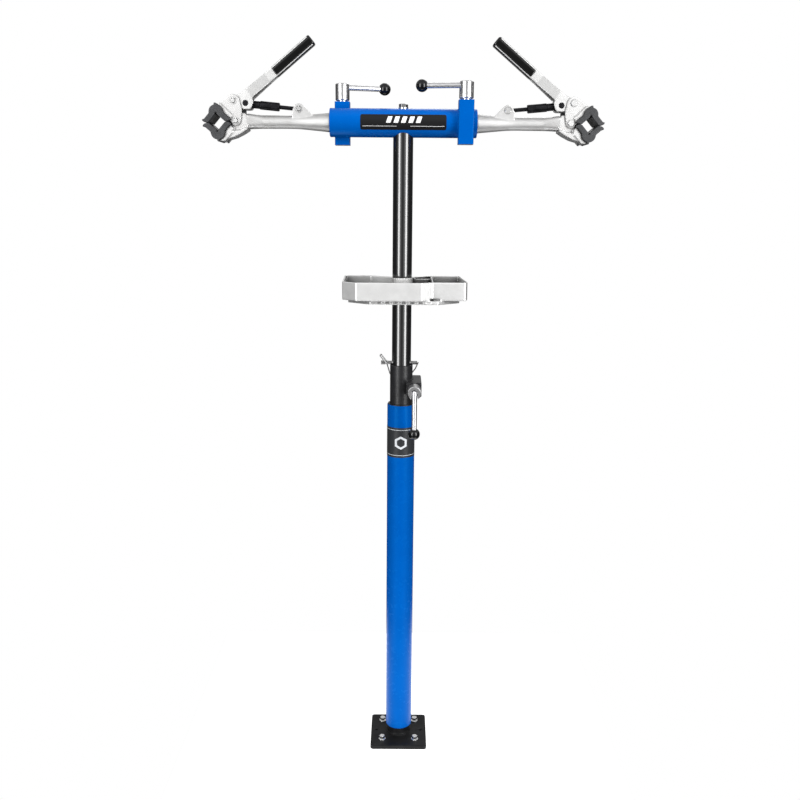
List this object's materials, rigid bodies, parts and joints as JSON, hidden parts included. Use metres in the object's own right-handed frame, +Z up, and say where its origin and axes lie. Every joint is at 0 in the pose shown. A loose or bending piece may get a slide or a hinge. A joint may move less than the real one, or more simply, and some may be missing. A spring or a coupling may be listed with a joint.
{
  "type": "bike repair stand",
  "caption": "Bolt-down repair stand with a height-adjustable turning mast, cross beam, tool tray and rotating over-centre clamps that hold bicycles by a tube.",
  "frame": {"origin": "middle of the flange underside, on the post axis, in the plane the stand is bolted down to", "axes": "+Z up the post, X along the cross beam, +Y away from the user"},
  "size_m": [0.8114, 0.185, 1.5849],
  "materials": {
    "black_plate": "satin black powder coat",
    "zinc_steel": "bright zinc plate",
    "blue_paint": "gloss blue powder coat",
    "dark_paint": "satin dark grey powder coat",
    "mast_paint": "high gloss black",
    "black_plastic": "moulded nylon",
    "wedge_steel": "machined",
    "chrome": "bright chrome plate",
    "ball_plastic": "polished phenolic",
    "cast_aluminium": "tumbled casting",
    "plated_steel": "bright nickel plate",
    "black_steel": "black oxide",
    "grip_vinyl": "dipped vinyl",
    "pad_rubber": "moulded rubber",
    "label_film": "printed film"
  },
  "bodies": {
    "post": {"base_plate": "black_plate", "base_bolts": "zinc_steel", "base_washers": "zinc_steel", "post_tube": "blue_paint", "post_bushes": "black_plastic", "post_label": "label_film", "clamp_sleeve": "dark_paint", "height_fixed_wedge": "wedge_steel"},
    "height_wedge": {"height_moving_wedge": "wedge_steel"},
    "height_lock": {"height_lock_barrel": "chrome", "height_lock_bar": "chrome", "height_lock_ball": "ball_plastic"},
    "mast_carriage": {"mast_glide": "black_plastic"},
    "mast": {"mast_tube": "mast_paint", "mast_plug": "wedge_steel", "beam_bolt": "zinc_steel", "beam": "blue_paint", "beam_bushes": "black_plastic", "beam_label": "label_film", "beam_fixed_wedges": "wedge_steel"},
    "tray_collar": {"tray_collar": "cast_aluminium", "collar_screw": "black_steel"},
    "tray": {"tray": "cast_aluminium"},
    "safety_pin": {"safety_pin": "zinc_steel"},
    "bail": {"pin_bail": "zinc_steel"},
    "left_lock": {"left_lock_barrel": "chrome", "left_lock_bar": "chrome", "left_lock_ball": "ball_plastic"},
    "left_wedge": {"left_moving_wedge": "wedge_steel"},
    "left_arm": {"left_arm": "cast_aluminium", "left_fixed_pad": "pad_rubber", "left_arm_pins": "plated_steel", "left_lever_stop": "pad_rubber"},
    "left_jaw": {"left_moving_jaw": "cast_aluminium", "left_moving_pad": "pad_rubber", "left_jaw_pin": "plated_steel"},
    "left_lever": {"left_lever": "plated_steel", "left_grip": "grip_vinyl", "left_lever_studs": "black_steel"},
    "left_link": {"left_link_rod": "black_steel", "left_link_eye": "black_steel"},
    "left_adjuster": {"left_adjuster_sleeve": "black_steel"},
    "right_lock": {"right_lock_barrel": "chrome", "right_lock_bar": "chrome", "right_lock_ball": "ball_plastic"},
    "right_wedge": {"right_moving_wedge": "wedge_steel"},
    "right_arm": {"right_arm": "cast_aluminium", "right_fixed_pad": "pad_rubber", "right_arm_pins": "plated_steel", "right_lever_stop": "pad_rubber"},
    "right_jaw": {"right_moving_jaw": "cast_aluminium", "right_moving_pad": "pad_rubber", "right_jaw_pin": "plated_steel"},
    "right_lever": {"right_lever": "plated_steel", "right_grip": "grip_vinyl", "right_lever_studs": "black_steel"},
    "right_link": {"right_link_rod": "black_steel", "right_link_eye": "black_steel"},
    "right_adjuster": {"right_adjuster_sleeve": "black_steel"}
  },
  "joints": [
    {"name": "height_lock_turn", "type": "hinge", "parent": "post", "child": "height_lock", "pos_m": [0.028, -0.043, 0.849], "axis": [0, -1, 0], "range_deg": [0, 120]},
    {"name": "height_wedge_slide", "type": "slide", "parent": "post", "child": "height_wedge", "axis": [0, 1, 0], "range_m": [0, 0.0005]},
    {"name": "mast_lift", "type": "slide", "parent": "post", "child": "mast_carriage", "axis": [0, 0, 1], "range_m": [0, 0.24]},
    {"name": "mast_turn", "type": "hinge", "parent": "mast_carriage", "child": "mast", "pos_m": [0, 0, 0.9], "axis": [0, 0, 1], "continuous": true},
    {"name": "tray_height", "type": "slide", "parent": "mast", "child": "tray_collar", "axis": [0, 0, 1], "range_m": [-0.04, 0.2]},
    {"name": "tray_turn", "type": "hinge", "parent": "tray_collar", "child": "tray", "pos_m": [0, 0, 1.06], "axis": [0, 0, 1], "continuous": true},
    {"name": "pin_pull", "type": "slide", "parent": "mast", "child": "safety_pin", "axis": [-1, 0, 0], "range_m": [0, 0.075]},
    {"name": "bail_swing", "type": "hinge", "parent": "safety_pin", "child": "bail", "pos_m": [-0.033, 0, 0.9006], "axis": [0, -1, 0], "range_deg": [0, 70]},
    {"name": "left_lock_turn", "type": "hinge", "parent": "mast", "child": "left_lock", "pos_m": [-0.126, 0.028, 1.441], "axis": [0, 0, 1], "range_deg": [0, 150]},
    {"name": "left_wedge_slide", "type": "slide", "parent": "mast", "child": "left_wedge", "axis": [0, 0, -1], "range_m": [0, 0.000625]},
    {"name": "left_arm_turn", "type": "hinge", "parent": "mast", "child": "left_arm", "pos_m": [-0.1, 0, 1.398], "axis": [1, 0, 0], "continuous": true},
    {"name": "left_jaw_swing", "type": "hinge", "parent": "left_arm", "child": "left_jaw", "pos_m": [-0.3394, 0, 1.3986], "axis": [0, 1, 0], "range_deg": [0, 20.7]},
    {"name": "left_lever_swing", "type": "hinge", "parent": "left_jaw", "child": "left_lever", "pos_m": [-0.3436, 0, 1.4375], "axis": [0, -1, 0], "range_deg": [0, 90]},
    {"name": "left_link_swing", "type": "hinge", "parent": "left_arm", "child": "left_link", "pos_m": [-0.2123, 0, 1.4236], "axis": [0, 1, 0], "range_deg": [0, 14.04]},
    {"name": "left_adjuster_spin", "type": "hinge", "parent": "left_link", "child": "left_adjuster", "pos_m": [-0.2123, 0, 1.4236], "axis": [-0.9959, 0, 0.0902], "continuous": true},
    {"name": "right_lock_turn", "type": "hinge", "parent": "mast", "child": "right_lock", "pos_m": [0.126, -0.028, 1.441], "axis": [0, 0, 1], "range_deg": [0, 150]},
    {"name": "right_wedge_slide", "type": "slide", "parent": "mast", "child": "right_wedge", "axis": [0, 0, -1], "range_m": [0, 0.000625]},
    {"name": "right_arm_turn", "type": "hinge", "parent": "mast", "child": "right_arm", "pos_m": [0.1, 0, 1.398], "axis": [1, 0, 0], "continuous": true},
    {"name": "right_jaw_swing", "type": "hinge", "parent": "right_arm", "child": "right_jaw", "pos_m": [0.3394, 0, 1.3986], "axis": [0, -1, 0], "range_deg": [0, 20.7]},
    {"name": "right_lever_swing", "type": "hinge", "parent": "right_jaw", "child": "right_lever", "pos_m": [0.3436, 0, 1.4375], "axis": [0, 1, 0], "range_deg": [0, 90]},
    {"name": "right_link_swing", "type": "hinge", "parent": "right_arm", "child": "right_link", "pos_m": [0.2123, 0, 1.4236], "axis": [0, -1, 0], "range_deg": [0, 14.04]},
    {"name": "right_adjuster_spin", "type": "hinge", "parent": "right_link", "child": "right_adjuster", "pos_m": [0.2123, 0, 1.4236], "axis": [0.9959, 0, 0.0902], "continuous": true}
  ],
  "couplings": [
    {"joint": "height_wedge_slide", "follows": "height_lock_turn", "m_per_rad": 0.00023873},
    {"joint": "left_wedge_slide", "follows": "left_lock_turn", "m_per_rad": 0.00023873},
    {"joint": "left_jaw_swing", "follows": "left_lever_swing", "ratio": 0.23},
    {"joint": "left_link_swing", "follows": "left_lever_swing", "ratio": 0.156},
    {"joint": "right_wedge_slide", "follows": "right_lock_turn", "m_per_rad": 0.00023873},
    {"joint": "right_jaw_swing", "follows": "right_lever_swing", "ratio": 0.23},
    {"joint": "right_link_swing", "follows": "right_lever_swing", "ratio": 0.156}
  ]
}
